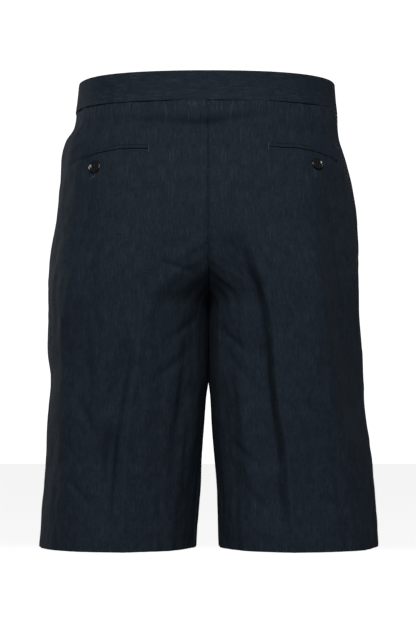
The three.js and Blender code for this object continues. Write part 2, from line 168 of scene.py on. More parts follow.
# The finer wrinkles of the linen. Those that cross the right side seam are on both faces.
WRINKLES = table(
    "face x1 z1 x2 z2 width height",
    (BACK, -144, -79, -160, -86, 2.8, -1.3),
    (BACK, -146, -61, -160, -70, 4, 1.2),
    (BACK, -142, -90, -139, -104, 2.6, -0.8),
    (BACK, -148, -92, -146, -108, 3, -0.7),
    (BACK, 151, -80, 162, -88, 3, -1.1),
    (BACK, 138, -36, 182, -39, 4, 1.5),
    (FRONT, 138, -36, 182, -39, 4, 1.5),
    (BACK, 138, -50, 182, -51, 4, 1.2),
    (FRONT, 138, -50, 182, -51, 4, 1.2),
    (BACK, 140, -65, 184, -62, 4, 1.4),
    (FRONT, 140, -65, 184, -62, 4, 1.4),
    (BACK, 87, -78, 101, -82, 4, -0.8),
    (BACK, -60, -196, -17, -208, 3.5, -1.8),
    (BACK, -100, -404, -102, -430, 3, -1.4),
    (BACK, -121, -312, -123, -388, 4, 1.0),
    (BACK, -123, -388, -119, -462, 4, 1.0),
    (BACK, -139, -322, -139, -350, 3.5, 0.7),
    (BACK, -148, -240, -152, -270, 8, -1.4),
    (BACK, -152, -262, -159, -310, 8, -1.4),
    (BACK, -160, -232, -168, -276, 5, 1.3),
    (BACK, -57, -353, -42, -342, 3, -0.7),
    (BACK, -162, -398, -145, -426, 3.5, -1.0),
    (BACK, -73, -430, -61, -423, 3, -0.6),
    (BACK, -153, -482, -146, -490, 3, -0.6),
    (BACK, -48, -478, -49, -489, 3, -0.6),
    (BACK, 76, -428, 85, -474, 2.6, 0.9),
    (BACK, 10, -268, 40, -302, 5, -2.4),
    (BACK, 16, -296, 54, -346, 5, -2.4),
    (BACK, -12, -258, -44, -286, 5, -2.0),
    (BACK, -20, -296, -60, -330, 5, -1.9),
    (BACK, -150, -350, -128, -392, 5, -2.0),
    (BACK, -160, -440, -132, -470, 4, -1.9),
    (BACK, -80, -466, -58, -492, 4, -1.7),
    (BACK, 112, -356, 140, -380, 5, -1.7),
    (BACK, 120, -452, 150, -476, 5, -1.9),
    (BACK, 30, -402, 62, -436, 5, -2.0),
    (BACK, 40, -446, 66, -480, 4, -1.6),
    (BACK, 29, -298, 35, -310, 3, -1.0),
    (BACK, 28, -323, 42, -342, 3, -0.8),
    (BACK, 41, -340, 42, -366, 3, -0.8),
    (BACK, 142, -428, 149, -433, 3, -0.5),
    (BACK, 96, -250, 110, -262, 5, -0.5),
    (BACK, -110, -220, -92, -232, 5, -0.5),
    (FRONT, -14, -214, -62, -190, 4, -1.3),
    (FRONT, -12, -224, -48, -214, 3.5, -1.0),
    (FRONT, -18, -196, -50, -172, 4, -0.8),
    (FRONT, 14, -216, 58, -193, 4, -1.3),
    (FRONT, 12, -227, 46, -219, 3.5, -1.0),
    (FRONT, 20, -198, 47, -176, 4, -0.8),
    (FRONT, -118, -300, -123, -382, 4, 0.9),
    (FRONT, 114, -330, 120, -412, 4, 0.9),
    (FRONT, -56, -330, -42, -344, 3, -0.6),
    (FRONT, 60, -368, 46, -380, 3, -0.6),
    (FRONT, 139, -310, 148, -362, 7, -1.0),
    (FRONT, -150, -250, -158, -300, 7, -1.0),
    (FRONT, -84, -40, -30, -44, 7, -0.9),
    (FRONT, 34, -44, 92, -40, 7, -0.9),
    (FRONT, -64, -452, -52, -460, 3, -0.5),
    (FRONT, 150, -446, 158, -462, 3, -0.6),
)

# Seams sink into a ditch, and so does the panel just under the waistband.
DITCH = table("seam depth reach", (0, 1.5, 1.7), (1, 0.9, 1.3))
SEAT, SIDE = 0, 1
BAND_DITCH = {"depth": 1.0, "reach": 1.6, "inside": 0.6, "up": 2.6}

# Unevenness of the whole cloth: size of its patches across and down, and how far it lifts.
LEG_RADIUS = 120.0  # turns a turn into a length across the cloth
UNEVEN = table(
    "across down height seed",
    (46, 74, 1.6, 11),
    (17, 30, 0.9, 12),
    (10, 58, 0.75, 14),
    (7, 12, 0.34, 13),
    (3.6, 15, 0.13, 15),
)
NOISE = {"cells": 64, "shift": 30}  # cells before the noise repeats, and where a sheet's middle falls
LEG_SEEDS = {"row": 10, "side": 3}  # what keeps the two legs' unevenness apart

# The pocket mouths, from their inner to their outer end, and their lips above and below.
MOUTHS = {
    LEFT: table(
        "x z", (68, -71), (82, -70.2), (99, -70.6), (114, -72.6), (127, -75), (137, -77.6), (144.5, -80.6)
    ),
    RIGHT: table(
        "x z", (68, -68.8), (82, -69.4), (100, -69.8), (116, -71.4), (129, -74), (140, -77.4), (148, -81)
    ),
}
# A lip's height narrows towards the outer end of the mouth. The lower one lies almost level with the panel.
LIPS = {
    "upper": {"rise": 1.95, "half": 1.7, "out": -0.1, "deep": 0.95},
    "lower": {"rise": -1.95, "half": 1.75, "out": -0.42, "deep": 0.5},
}
LIP = {"stations": 72, "sides": 12, "taper": 3.0, "outer_share": 0.5, "end_share": 0.35, "round": 0.8}
LIP_UNEVEN = {"across": 9, "height": 0.14, "seed": 51, "worn": 0.25}
POCKET_BED = {"top": 4.1, "bottom": -4.4, "edge": 0.8, "depth": 1.4}
POCKET_BED_ENDS = {"inner": (-0.3, 0.7), "outer": (-1.0, 1.5)}  # from the mouth's first and last point

# Buttons: the one on the left pocket hangs turned a little towards the middle.
BUTTON_FOOT = 4.6
BUTTON_CLEAR = 0.2
BUTTON_PROFILE = table(
    "r h",
    (0, 0),
    (4.6, 0),
    (6.1, 0.35),
    (6.85, 0.9),
    (7.0, 1.4),
    (6.9, 1.95),
    (6.55, 2.38),
    (6.1, 2.5),
    (5.65, 2.42),
    (5.2, 2.1),
    (4.8, 1.75),
    (4.2, 1.55),
    (0, 1.5),
)
BUTTON_TURNS = 64
BUTTON_RIMS = {"width": 0.12, "segments": 2, "angle": 50}
BUTTON_ALONG = {"pocket": (1, 0, 0.1), "waist": (1, 0, 0.05)}  # the line through its upper holes
HOLE = {"count": 4, "first": 45, "radius": 0.8, "out": 1.7, "long": 8.0, "sides": 20}  # turns in degrees
POCKET_BUTTONS = {
    LEFT: {"x": 126.8, "z": -90.0, "turn": 16.0},
    RIGHT: {"x": 122.0, "z": -86.0, "turn": 2.0},
}
BUTTONHOLES = {
    LEFT: {"x": 129.2, "top": -80.5, "bottom": -102.0},
    RIGHT: {"x": 121.0, "top": -78.0, "bottom": -101.5},
}

# What shows of the thread at the lower end of each buttonhole.
HOLE_ENDS = table(
    "side x1 z1 x2 z2 wide",
    (LEFT, 126.6, -94.7, 128.4, -100.1, 1.1),
    (LEFT, 128.4, -100.1, 134.1, -102.8, 1.1),
    (RIGHT, 121, -94.2, 121, -96.0, 2.3),
    (RIGHT, 121, -99.4, 121, -100.8, 2.0),
)

# The waistband's lapped ends, in degrees past the centre front, and where the lower end dives under.
LAP = {"over": 5.0, "under": 13.0, "dive_from": 158.0, "dive_to": 171.0, "gap": 0.5}
BAND_STEPS = 460
BAND_DEGREE = 2.6  # length of the waistband for each degree round the waist
BAND_UNEVEN = table("across down height seed", (38, 30, 0.28, 41), (11, 18, 0.14, 42))
BAND_PULL = {"across": 3.2, "down": 60, "height": 0.14, "seed": 43, "from": 4.0}
NOTCH = {"x": 3.0, "z": -11.0, "slope": 0.45, "wide": 1.6, "tall": 6.0, "depth": 0.9}

# The gathering under the waistband: strongest a little right of the centre back, fading downwards. Its
# puckers get a bump and a painted highlight.
GATHER = {"x": 8.0, "half": 34.0, "least": 0.35, "top": -20.0, "bottom": -37.0, "band": 0.3}
# How far the paler edge reaches on a crease, the hem's fold and the band's top: wear, and painted shine.
WEAR_AND_SHINE_REACH = {"crease": 1.6, "hem": 1.5, "band": 1.2}

# Thread
TACK = {"inward": 0.9, "up": 4.3, "down": 4.0, "wide": 1.7, "out": 0.55}
STITCH = {"long": 2.6, "pitch": 3.3, "wide": 0.38, "tall": 0.24, "out": -0.06}
LINE_SAMPLES = 120  # points along a line of stitches before it is spaced out
SATIN = {"pitch": 0.5, "wide": 0.42, "tall": 0.36, "out": 0.12}
HOLE_EDGE = {"beside": 0.75, "wide": 1.1}
SEAT_STITCH = {"x": 7.0, "top": -22.0, "bottom": -240.0}
FLY_STITCH = table(
    "x z", (30, -19), (30.5, -60), (30, -112), (27, -142), (20, -163), (10, -177), (1.5, -184)
)
BUTTON_THREAD = {"beside": 0.28, "up": 1.72, "long": 2.9, "thick": 0.5}
WAIST_HOLE = {"from": 178.6, "to": 174.6, "out": 0.1}  # degrees from the centre back, on the left


def smooth_step(value, start, end):
    """Rises smoothly from 0 at the start to 1 at the end."""
    t = np.clip((value - start) / (end - start), 0, 1)
    return t * t * (3 - 2 * t)


def at(rows, name, z):
    """A column's value at a height, on a smooth curve through the table's rows, which go down in z."""
    heights, values = rows["z"], rows[name]
    z = np.clip(z, heights[-1], heights[0])
    secants = np.diff(values) / np.diff(heights)
    slopes = np.concatenate([secants[:1], (secants[1:] + secants[:-1]) / 2, secants[-1:]])
    i = np.clip(np.searchsorted(-heights, -z, side="right") - 1, 0, len(heights) - 2)
    run = heights[i + 1] - heights[i]
    t = (z - heights[i]) / run
    start = (1 + 2 * t) * (1 - t) ** 2 * values[i] + t * (1 - t) ** 2 * run * slopes[i]
    end = t * t * (3 - 2 * t) * values[i + 1] + t * t * (t - 1) * run * slopes[i + 1]
    return start + end


def signed_power(value, power):
    return np.sign(value) * np.abs(value) ** power


def leg_name(side):
    return "right" if side > 0 else "left"


def section(side, z):
    """Centre, half width, middle, half depth and squareness of one half's section at a height."""
    outer = at(FORM, leg_name(side), z)
    share = smooth_step(z, CROTCH_Z, FORK_TOP_Z)
    inner = at(INNER, leg_name(side), z) * (1 - share) - outer * share
    back, front = at(FORM, "back", z), at(FORM, "front", z)
    square = at(FORM, "square", z)
    return (outer + inner) / 2, (outer - inner) / 2, (front - back) / 2, (front + back) / 2, square


def bare(side, turn, z):
    """The form with no folds. A turn of -90 degrees is the back, 0 the outer side and 90 the front."""
    centre, half_width, middle, half_depth, square = section(side, z)
    x = centre + half_width * signed_power(np.cos(turn), 2 / square)
    y = middle + half_depth * signed_power(np.sin(turn), 2 / square)
    forward = y / WAIST["half_depth"]
    slope = (WAIST["back_rise"] + WAIST["front_fall"]) / 2
    sag = (WAIST["front_fall"] - WAIST["back_rise"]) / 2
    lean = smooth_step(z, LEAN_END_Z, 0) * (slope * forward + sag * forward**2)
    return np.stack([side * x, y, z - lean], axis=-1)


def turn_at(side, z, distance):
    """The turn at which a half's section meets a distance from the centre plane, on the back."""
    centre, half_width, _, _, square = section(side, z)
    share = np.clip((distance - centre) / half_width, -1, 1)
    return -np.arccos(signed_power(share, square / 2))


NORMAL_STEP = {"turn": 0.004, "z": 0.8}


def normal_of(surface, side, turn, z):
    """The outward normal of the bare form or of the finished cloth."""
    beside, above = NORMAL_STEP["turn"], NORMAL_STEP["z"]
    across = surface(side, turn + beside, z) - surface(side, turn - beside, z)
    up = surface(side, turn, z + above) - surface(side, turn, z - above)
    normal = np.cross(across, up) * side
    return normal / np.linalg.norm(normal, axis=-1, keepdims=True)


def patches(across, down, cell_across, cell_down, seed):
    """Smooth noise from -1 to 1 over a sheet, in cells of the given size."""
    cells = NOISE["cells"]
    draw = np.random.default_rng(int(seed)).uniform(-1, 1, (cells, cells))
    u, v = across / cell_across + NOISE["shift"], -down / cell_down
    i, j = np.floor(v).astype(int), np.floor(u).astype(int)
    s, t = smooth_step(v - i, 0, 1), smooth_step(u - j, 0, 1)
    i, j = i % cells, j % cells
    i_next, j_next = (i + 1) % cells, (j + 1) % cells
    low = draw[i, j] * (1 - t) + draw[i, j_next] * t
    high = draw[i_next, j] * (1 - t) + draw[i_next, j_next] * t
    return low * (1 - s) + high * s


def line_places(rows, face, x, z):
    """For each line of a table on one face: its row, its run, and where the points lie beside it."""
    for k in np.flatnonzero(rows["face"] == face):
        dx, dz = rows["x2"][k] - rows["x1"][k], rows["z2"][k] - rows["z1"][k]
        from_x, from_z = x - rows["x1"][k], z - rows["z1"][k]
        along = np.clip((from_x * dx + from_z * dz) / (dx * dx + dz * dz), 0, 1)
        yield k, dx, dz, from_x, from_z, along


def lines_lift(rows, face, x, z):
    """How far a table's folds lift the cloth at points of the back or front."""
    total = np.zeros_like(x)
    for k, dx, dz, from_x, from_z, along in line_places(rows, face, x, z):
        away = np.hypot(from_x - along * dx, from_z - along * dz)
        across = np.exp(-((away / rows["width"][k]) ** 2))
        total += rows["height"][k] * across * np.sin(np.pi * (FOLD_END + (1 - 2 * FOLD_END) * along))
    return total


def drops_lift(face, x, z):
    """How far the cloth sinks on one side of the drop lines."""
    total = np.zeros_like(x)
    for k, dx, dz, from_x, from_z, along in line_places(DROPS, face, x, z):
        away = DROPS["way"][k] * (from_z * dx - from_x * dz) / math.hypot(dx, dz)
        steep = DROPS["steep"][k]
        dip = smooth_step(away, 0, steep) * (1 - smooth_step(away, steep, DROPS["wide"][k]))
        total -= DROPS["depth"][k] * dip * np.sin(np.pi * along) ** DROP_TAPER
    return total


def valley_lift(side, x, z):
    """How far the cloth sinks beside the back crease of one leg."""
    row = {name: float(VALLEYS[name][VALLEYS["side"] == side][0]) for name in VALLEYS}
    share_down = (row["top"] - z) / (row["top"] - row["bottom"])
    away = side * at(CREASE, "back_" + leg_name(side), z) - x - row["spread"] * np.clip(share_down, 0, 1)
    dip = smooth_step(away, 0, row["steep"]) * (1 - smooth_step(away, row["steep"], row["wide"]))
    ends = smooth_step(-z, -row["top"], row["start"] - row["top"])
    ends = ends * smooth_step(z, row["bottom"], row["bottom"] + row["start"])
    down = VALLEY_UNEVEN["down"]
    uneven = 1 + VALLEY_UNEVEN["share"] * patches(x * 0, z, down, down, VALLEY_UNEVEN["seed"] + side)
    return -row["depth"] * uneven * dip * ends


def narrowing(mouth, x):
    """How much of its full height a pocket's opening keeps, towards its outer end."""
    return 1 - (1 - LIP["outer_share"]) * smooth_step(x, mouth["x"][2], mouth["x"][-1])


def pocket_bed(side, x, z):
    """The panel sinks where the lips of a back pocket are set in, and rises again under the lower one."""
    mouth = MOUTHS[side]
    rise = (z - np.interp(x, mouth["x"], mouth["z"])) / narrowing(mouth, x)
    top = POCKET_BED["top"]
    tall = smooth_step(rise, POCKET_BED["bottom"], 0) * smooth_step(-rise, -top - POCKET_BED["edge"], -top)
    inner = smooth_step(x - mouth["x"][0], *POCKET_BED_ENDS["inner"])
    outer = smooth_step(x - mouth["x"][-1], *POCKET_BED_ENDS["outer"])
    return -POCKET_BED["depth"] * tall * inner * (1 - outer)


def relief(side, turn, z, point):
    """How far the cloth stands off the bare form: crease, folds, wrinkles, unevenness and ditches."""
    x = point[..., 0]
    total = np.zeros_like(x)
    for face, word in ((BACK, "back"), (FRONT, "front")):
        here = np.sign(np.sin(turn)) == face
        height = at(CREASE, word + "_height", z)
        from_crease = np.abs(side * x - at(CREASE, word + "_" + leg_name(side), z))
        edge = CREASE_EDGE["height"] * np.exp(-((from_crease / CREASE_EDGE["width"]) ** 2))
        lift = height * np.exp(-from_crease / CREASE_REACH)
        lift += edge * smooth_step(height, *CREASE_SHOWS.values())
        lift += lines_lift(FOLDS, face, x, z) + lines_lift(WRINKLES, face, x, z) + drops_lift(face, x, z)
        if face == BACK:
            lift += valley_lift(side, x, z)
        total = np.where(here, lift, total)
    total *= smooth_step(np.abs(np.sin(turn)), FOLD_FADE["from"], FOLD_FADE["to"])
    for k in range(len(UNEVEN["seed"])):
        seed = UNEVEN["seed"][k] * LEG_SEEDS["row"] + LEG_SEEDS["side"] * side
        around = turn * LEG_RADIUS
        total += UNEVEN["height"][k] * patches(around, z, UNEVEN["across"][k], UNEVEN["down"][k], seed)
    total = np.where(np.sin(turn) < 0, total + pocket_bed(side, side * x, z), total)
    below_band = np.maximum(-BAND["half"] - z, 0)
    sunk = BAND_DITCH["depth"] * np.exp(-((below_band / BAND_DITCH["reach"]) ** 2))
    in_band = smooth_step(z, -BAND["half"], -BAND["half"] + BAND_DITCH["up"])
    return total * (1 - in_band) - sunk + (BAND_DITCH["depth"] - BAND_DITCH["inside"]) * in_band


def cloth(side, turn, z, out=0.0):
    """A point of the finished cloth's outer face, or a distance outside it."""
    point = bare(side, turn, z)
    shift = normal_of(bare, side, turn, z) * (relief(side, turn, z, point) + out)[..., None]
    shift[..., 0] *= smooth_step(side * point[..., 0], 0, SEAM_HOLD)
    point = point + shift
    point[..., 0] = side * np.maximum(side * point[..., 0], TOUCH)
    return point


def seam_turns(side, z):
    """Where a half's seams and creases lie at a height, as turns."""
    edge = -turn_at(side, z, TOUCH)
    inseam = np.radians(at(SEAMS, "inseam", z)) if z < CROTCH_Z else 0.0
    side_seam = -np.radians(at(SEAMS, "side", z))
    return {
        "seat": inseam - edge,
        "back_crease": turn_at(side, z, at(CREASE, "back_" + leg_name(side), z)),
        "side_back": side_seam,
        "side_front": side_seam,
        "front_crease": -turn_at(side, z, at(CREASE, "front_" + leg_name(side), z)),
        "fly": inseam + edge,
    }


PANELS = {
    BACK: {
        "name": "back_panel_",
        "turns": ("seat", "back_crease", "side_back"),
        "ditches": (SEAT, SIDE),
    },
    FRONT: {
        "name": "front_panel_",
        "turns": ("side_front", "front_crease", "fly"),
        "ditches": (SIDE, SEAT),
    },
}
# Distances between rows by height, and the columns' distances next to a seam.
ROW_STEP = table(
    "z step", (-18, 0.5), (-22, 1.8), (-56, 1.8), (-62, 0.8), (-84, 0.8), (-90, 1.8), (-600, 2.1)
)
EDGE_COLUMNS = np.array([0, 0.35, 0.8, 1.35, 2.0, 2.8, 3.8])
COLUMNS = 50  # on each side of the crease, between the seams' own columns
TURN_SAMPLES = 700


def panel_rows():
    """Heights and distances outside the form of a panel's rows: up inside the hem, round it and up."""
    radius = HEM["fold_radius"]
    bend_z = HEM["z"] + radius
    inside_z = np.linspace(HEM["z"] + HEM["turn_up"], bend_z, HEM["inside_rows"])[:-1]
    inside = [(z, -2 * radius) for z in inside_z]
    angles = np.radians(np.linspace(0, 180, HEM["round_rows"]))
    bend = [(bend_z - radius * math.sin(a), -radius * (1 + math.cos(a))) for a in angles]
    outside = []
    z = -BAND["half"] + BAND_DITCH["up"]
    while z > bend_z + 1:
        outside.append((z, 0.0))
        z -= np.interp(-z, -ROW_STEP["z"], ROW_STEP["step"])
    return np.array(inside + bend + outside[::-1])


def row_turns(side, face, z):
    """The turns of one row's columns, even along the cloth, with one on the crease, and their distances."""
    seams = seam_turns(side, z)
    start, crease, end = (seams[name] for name in PANELS[face]["turns"])
    dense = np.linspace(start, end, TURN_SAMPLES)
    points = bare(side, dense, np.full_like(dense, z))
    lengths = np.concatenate([[0], np.cumsum(np.linalg.norm(np.diff(points, axis=0), axis=1))])
    middle, total = np.interp(crease, dense, lengths), lengths[-1]
    last = EDGE_COLUMNS[-1]
    spots = np.concatenate([
        EDGE_COLUMNS[:-1],
        np.linspace(last, middle, COLUMNS)[:-1],
        np.linspace(middle, total - last, COLUMNS),
        total - EDGE_COLUMNS[-2::-1],
    ])
    return np.interp(spots, lengths, dense), spots, middle, total


def net_object(name, points, flat, marks, turned, material, wrap=False):
    """A grid moved onto rows and columns of points in millimetres, with its flat cut as UV map."""
    rows, columns = points.shape[:2]
    bm = bmesh.new()
    bmesh.ops.create_grid(bm, x_segments=columns - 1, y_segments=rows - 1, size=1)
    cut = bm.loops.layers.uv.new("cut")
    layers = {mark: bm.verts.layers.float.new(mark) for mark in marks}
    spots = {}
    for vert in bm.verts:
        i = round((vert.co.y + 1) / 2 * (rows - 1))
        j = round((vert.co.x + 1) / 2 * (columns - 1))
        spots[vert] = (i, j)
    for face in bm.faces:
        face.smooth = True
        for loop in face.loops:
            loop[cut].uv = flat[spots[loop.vert]]
    for vert, spot in spots.items():
        vert.co = points[spot]
        for mark, layer in layers.items():
            vert[layer] = marks[mark][spot]
    if turned:
        bmesh.ops.reverse_faces(bm, faces=bm.faces)
    if wrap:
        bmesh.ops.remove_doubles(bm, verts=bm.verts, dist=1e-4)
        bmesh.ops.holes_fill(bm, edges=[e for e in bm.edges if e.is_boundary], sides=0)
        bmesh.ops.recalc_face_normals(bm, faces=bm.faces)
    return finished(bm, name, material)


def shown(name, data):
    """A new object in the scene."""
    thing = bpy.data.objects.new(name, data)
    bpy.context.scene.collection.objects.link(thing)
    return thing


def made(bm, name, material):
    """The object of a bmesh."""
    mesh = bpy.data.meshes.new(name)
    bm.to_mesh(mesh)
    bm.free()
    mesh.materials.append(material)
    return shown(name, mesh)


def finished(bm, name, material):
    """The object of a bmesh made in millimetres, riding on the part."""
    bmesh.ops.scale(bm, verts=bm.verts, vec=(MM, MM, MM))
    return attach(made(bm, name, material), BODY)


def leg_panel(side, face, material):
    """One leg panel, cut in one piece with its hem, which turns up inside."""
    rows = panel_rows()
    points, flat, gather, worn = [], [], [], []
    first_up = int(np.argmin(rows[:, 0]))
    for index, (z, out) in enumerate(rows):
        turns, spots, middle, total = row_turns(side, face, z)
        at_z = np.full_like(turns, z)
        ditch = np.zeros_like(turns)
        for kind, away in zip(PANELS[face]["ditches"], (spots, total - spots)):
            ditch += DITCH["depth"][kind] * np.exp(-((away / DITCH["reach"][kind]) ** 2))
        points.append(cloth(side, turns, at_z, out - ditch))
        down = z if index >= first_up else 2 * HEM["z"] - z
        flat.append(np.stack([(spots - middle) * MM, np.full_like(spots, down * MM)], axis=-1))
        x = points[-1][:, 0]
        near_middle = np.exp(-(((x - GATHER["x"]) / GATHER["half"]) ** 2)) if face == BACK else 0 * x
        gathered = GATHER["least"] + (1 - GATHER["least"]) * near_middle
        gather.append(gathered * smooth_step(z, GATHER["bottom"], GATHER["top"]))
        # The paler edge on the pressed crease and the hem's fold is wear, and painted shine.
        crease_height = at(CREASE, ("back" if face == BACK else "front") + "_height", z)
        on_crease = np.exp(-(((spots - middle) / WEAR_AND_SHINE_REACH["crease"]) ** 2))
        on_crease *= smooth_step(crease_height, *CREASE_SHOWS.values())
        on_hem = math.exp(-(((z - HEM["z"]) / WEAR_AND_SHINE_REACH["hem"]) ** 2))
        worn.append(np.maximum(on_crease, on_hem))
    marks = {"gather": np.array(gather), "worn": np.array(worn)}
    name = PANELS[face]["name"] + leg_name(side)
    piece = net_object(name + "_linen", np.array(points), np.array(flat), marks, side < 0, material)
    wall = piece.modifiers.new("second face", "SOLIDIFY")
    wall.thickness = CLOTH * MM
    wall.offset = -1
    wall.use_even_offset = False
    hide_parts(name)
    return piece


def band_point(angle, z, out):
    """A point of the waistband, by its angle from the centre back, positive to the wearer's right."""
    wrapped = (angle + 180) % 360 - 180
    side = np.where(wrapped < 0, -1, 1)
    turn = np.radians(np.abs(wrapped) - 90)
    points = np.zeros(np.shape(angle) + (3,))
    for half in (LEFT, RIGHT):
        here = side == half
        base = bare(half, turn[here], z[here])
        points[here] = base + normal_of(bare, half, turn[here], z[here]) * out[here][..., None]
    return points


def waistband(material):
    """The band round the waist, its left end lapped over its right end at the front."""
    half, deep = BAND["half"], BAND["thick"] / 2
    corner = BAND["corner"]
    arc = np.radians(np.linspace(0, 90, BAND["corner_rows"]))
    outer_low = [(-half + corner * (1 - math.sin(a)), deep - corner * (1 - math.cos(a))) for a in arc[::-1]]
    outer_high = [(half - corner * (1 - math.sin(a)), deep - corner * (1 - math.cos(a))) for a in arc]
    faces_up = np.linspace(-half + corner, half - corner, BAND["face_rows"])[1:-1]
    outer = outer_low + [(z, deep) for z in faces_up] + outer_high
    inner = [(z, -d) for z, d in outer[::-1]]
    ring = np.array(outer + inner + outer[:1])
    angles = np.linspace(-180 - LAP["over"], 180 + LAP["under"], BAND_STEPS)
    angle, z = np.meshgrid(angles, ring[:, 0])
    depth = np.broadcast_to(ring[:, 1][:, None], angle.shape)
    dive = smooth_step(angle, LAP["dive_from"], LAP["dive_to"]) * (BAND["thick"] + LAP["gap"])
    around = angle * BAND_DEGREE
    waves = np.zeros_like(around)
    for across, down, height, seed in zip(*BAND_UNEVEN.values()):
        waves += height * patches(around, z, across, down, seed)
    pull = patches(around, z, BAND_PULL["across"], BAND_PULL["down"], BAND_PULL["seed"])
    pull *= BAND_PULL["height"] * smooth_step(-z, BAND_PULL["from"], half)
    beside = (around - NOTCH["x"] - NOTCH["slope"] * (z - NOTCH["z"])) / NOTCH["wide"]
    notch = NOTCH["depth"] * np.exp(-(beside**2) - ((z - NOTCH["z"]) / NOTCH["tall"]) ** 2)
    out = BAND["proud"] - deep + depth + waves + (pull - notch) * (depth > 0) - dive
    points = band_point(angle, z, out)
    girth = np.cumsum(np.r_[0, np.hypot(*np.diff(ring, axis=0).T)])
    flat = np.stack(np.broadcast_arrays(around * MM, girth[:, None] * MM), axis=-1)
    # The band's top edge is paler: wear, and painted shine.
    worn = np.exp(-(((z - half) / WEAR_AND_SHINE_REACH["band"]) ** 2))
    marks = {"gather": GATHER["band"] * smooth_step(-z, 0, half), "worn": worn}
    piece = net_object("waistband_linen", points, flat, marks, False, material, wrap=True)
    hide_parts("waistband")
    return piece


def pocket_lip(side, name, material):
    """One lip of a back pocket, a narrow fold of cloth set in along the mouth."""
    lip, mouth = LIPS[name], MOUTHS[side]
    x = np.linspace(mouth["x"][0], mouth["x"][-1], LIP["stations"])
    from_end = np.minimum(x - x[0], x[-1] - x)
    slim = LIP["end_share"] + (1 - LIP["end_share"]) * np.sqrt(smooth_step(from_end, 0, LIP["taper"]))
    round_it = np.radians(np.linspace(0, 360, LIP["sides"] + 1))
    cell, seed = LIP_UNEVEN["across"], LIP_UNEVEN["seed"] + side + 2 * (name == "lower")
    wobble = LIP_UNEVEN["height"] * patches(x, np.zeros_like(x), cell, cell, seed)
    rise = lip["rise"] + wobble + lip["half"] * slim * signed_power(np.sin(round_it), LIP["round"])[:, None]
    z = np.interp(x, mouth["x"], mouth["z"]) + rise * narrowing(mouth, x)
    x_all = np.broadcast_to(x, z.shape)
    turn = turn_at(side, z, x_all)
    base = bare(side, turn, z)
    bed = relief(side, turn, z, base) - pocket_bed(side, x_all, z)
    out = lip["out"] + lip["deep"] * slim * signed_power(np.cos(round_it), LIP["round"])[:, None]
    points = base + normal_of(bare, side, turn, z) * (bed + out)[..., None]
    girth = np.linspace(0, 2 * (lip["deep"] + lip["half"]), LIP["sides"] + 1)
    flat = np.stack(np.broadcast_arrays(x * MM, girth[:, None] * MM), axis=-1)
    # The whole lip is a little paler: wear, and painted shine.
    marks = {"gather": np.zeros_like(z), "worn": np.full_like(z, LIP_UNEVEN["worn"])}
    node = "pocket_lip_" + name + "_" + leg_name(side)
    piece = net_object(node + "_linen", points, flat, marks, False, material, wrap=True)
    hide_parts(node)
    return piece


def facing(normal, along):
    """A turn that puts X along a direction and Z along a normal."""
    z = Vector(normal).normalized()
    x = Vector(along) - Vector(along).dot(z) * z
    x.normalize()
    return Matrix((x, z.cross(x), z)).transposed().to_4x4()


def thread_object(name, stitches, material):
    """Stitches as small spindles of thread. Each has its middle, its normal, its direction and its size."""
    bm = bmesh.new()
    for middle, normal, along, size in stitches:
        place = Matrix.Translation(middle) @ facing(normal, along) @ Matrix.Diagonal((*size, 1))
        bmesh.ops.create_uvsphere(bm, u_segments=6, v_segments=4, radius=0.5, matrix=place)
    for face in bm.faces:
        face.smooth = True
    return finished(bm, name, material)


def running_stitch(side, turns, heights):
    """Stitches along a line on the cloth, given by turns and heights."""
    points = cloth(side, turns, heights, np.full_like(turns, STITCH["out"]))
    normals = normal_of(bare, side, turns, heights)
    lengths = np.concatenate([[0], np.cumsum(np.linalg.norm(np.diff(points, axis=0), axis=1))])
    starts = np.arange(0, lengths[-1] - STITCH["long"], STITCH["pitch"])

    def on_line(values, spots):
        return np.stack([np.interp(spots, lengths, values[:, k]) for k in range(3)], axis=-1)

    heads, tails = on_line(points, starts), on_line(points, starts + STITCH["long"])
    middles = on_line(points, starts + STITCH["long"] / 2)
    size = (STITCH["long"], STITCH["wide"], STITCH["tall"])
    return [(m, n, t - h, size) for m, n, t, h in zip(middles, on_line(normals, starts), tails, heads)]


def satin(side, face, x1, z1, x2, z2, wide, out=SATIN["out"]):
    """A row of close stitches across a line on the cloth, as in a bar tack or a buttonhole's edge."""
    count = int(math.hypot(x2 - x1, z2 - z1) / SATIN["pitch"]) + 1
    x, z = np.linspace(x1, x2, count), np.linspace(z1, z2, count)
    turns = turn_at(side, z, x) * -face
    points = cloth(side, turns, z, np.full_like(turns, out))
    normals = normal_of(bare, side, turns, z)
    line = points[-1] - points[0]
    size = (wide, SATIN["wide"], SATIN["tall"])
    return [(p, n, np.cross(n, line), size) for p, n in zip(points, normals)]


def waist_hole():
    """The stitched edges of the waistband's buttonhole, level, beside its button."""
    count = int((WAIST_HOLE["from"] - WAIST_HOLE["to"]) * BAND_DEGREE / SATIN["pitch"])
    angles = np.linspace(WAIST_HOLE["from"], WAIST_HOLE["to"], count)
    stitches = []
    for z in (-HOLE_EDGE["beside"], HOLE_EDGE["beside"]):
        at_z = np.full_like(angles, z)
        points = band_point(-angles, at_z, np.full_like(angles, BAND["proud"] + WAIST_HOLE["out"]))
        normals = normal_of(bare, LEFT, np.radians(angles - 90), at_z)
        size = (HOLE_EDGE["wide"], SATIN["wide"], SATIN["tall"])
        stitches += [(p, n, Vector((0, 0, 1)), size) for p, n in zip(points, normals)]
    return stitches


